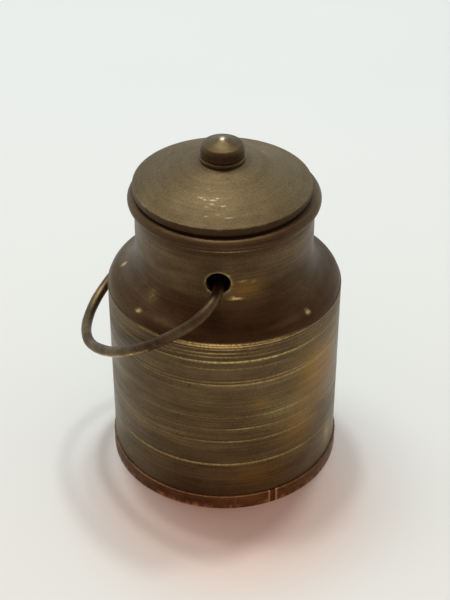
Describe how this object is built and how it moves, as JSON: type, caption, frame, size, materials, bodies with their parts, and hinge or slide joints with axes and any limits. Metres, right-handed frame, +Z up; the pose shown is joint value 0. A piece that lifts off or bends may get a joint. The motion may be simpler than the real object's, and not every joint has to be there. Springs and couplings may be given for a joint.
{
  "type": "milk can",
  "caption": "Small turned brass milk can with a coved shoulder, a loose domed lid with a pointed knob, and a wire bail handle that swings over the lid.",
  "frame": {"origin": "centre of the base, on the surface that the can stands on", "axes": "+Z up along the can's turned axis; the bail's hinge line runs along Y, and the bail at rest hangs down towards -X"},
  "size_m": [0.0501, 0.0482, 0.0685],
  "materials": {
    "can_brass": "dark aged brass, turned, with worn bright rings",
    "base_brass": "dark aged brass plate",
    "solder": "dull tarnished soft solder",
    "hoop_copper": "aged red brass strip, filed",
    "bail_wire": "aged brass wire, worn bright underneath",
    "lid_brass": "aged olive brass with fine turning marks",
    "lid_ring_brass": "dark aged brass",
    "knob_brass": "aged brass, polished by handling at the tip",
    "washer_brass": "dark aged brass"
  },
  "bodies": {
    "can": {"can_body": "can_brass", "base_disc": "base_brass", "base_solder": "solder", "base_hoop": "hoop_copper", "hoop_solder": "solder"},
    "handle": {"bail": "bail_wire"},
    "lid": {"lid_cover": "lid_brass", "lid_ring": "lid_ring_brass", "knob_collar": "knob_brass", "knob": "knob_brass", "knob_washer": "washer_brass"}
  },
  "joints": [
    {"name": "bail_hinge", "type": "hinge", "parent": "can", "child": "handle", "pos_m": [0, 0, 0.0474], "axis": [0, 1, 0], "range_deg": [-8.5, 263.1]},
    {"name": "lid_lift", "type": "slide", "parent": "can", "child": "lid", "axis": [0, 0, 1], "range_m": [0, 0.01]}
  ]
}
